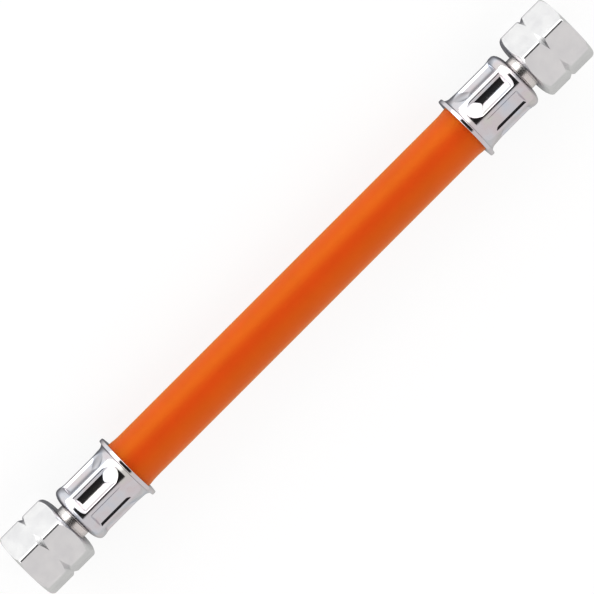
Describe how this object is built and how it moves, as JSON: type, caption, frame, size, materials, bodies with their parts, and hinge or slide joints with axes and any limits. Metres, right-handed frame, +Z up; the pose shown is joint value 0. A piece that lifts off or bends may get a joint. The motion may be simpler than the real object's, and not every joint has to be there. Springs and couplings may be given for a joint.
{
  "type": "flexible gas hose",
  "caption": "Straight orange rubber gas hose with crimped ferrules and swivelling left-hand union nuts at both ends.",
  "frame": {"origin": "on the surface that the part lies on, under the middle of the hose", "axes": "+X along the hose, from end a to end b; +Z up, square to a flat of each union nut"},
  "size_m": [0.1826, 0.0196, 0.0181],
  "materials": {
    "hose": "smooth matt orange rubber",
    "ferrule": "drawn sheet steel, bright zinc plated",
    "nipple": "turned steel, zinc plated, fine turning marks",
    "union_nut": "machined steel, satin zinc plate"
  },
  "bodies": {
    "hose_assembly": {"hose": "hose", "ferrule_a": "ferrule", "ferrule_b": "ferrule", "nipple_a": "nipple", "nipple_b": "nipple"},
    "nut_a": {"union_nut_a": "union_nut"},
    "nut_b": {"union_nut_b": "union_nut"}
  },
  "joints": [
    {"name": "nut_a_swivel", "type": "hinge", "parent": "hose_assembly", "child": "nut_a", "pos_m": [-0.0838, 0, 0.00905], "axis": [-1, 0, 0], "continuous": true},
    {"name": "nut_b_swivel", "type": "hinge", "parent": "hose_assembly", "child": "nut_b", "pos_m": [0.0838, 0, 0.00905], "axis": [1, 0, 0], "continuous": true}
  ]
}
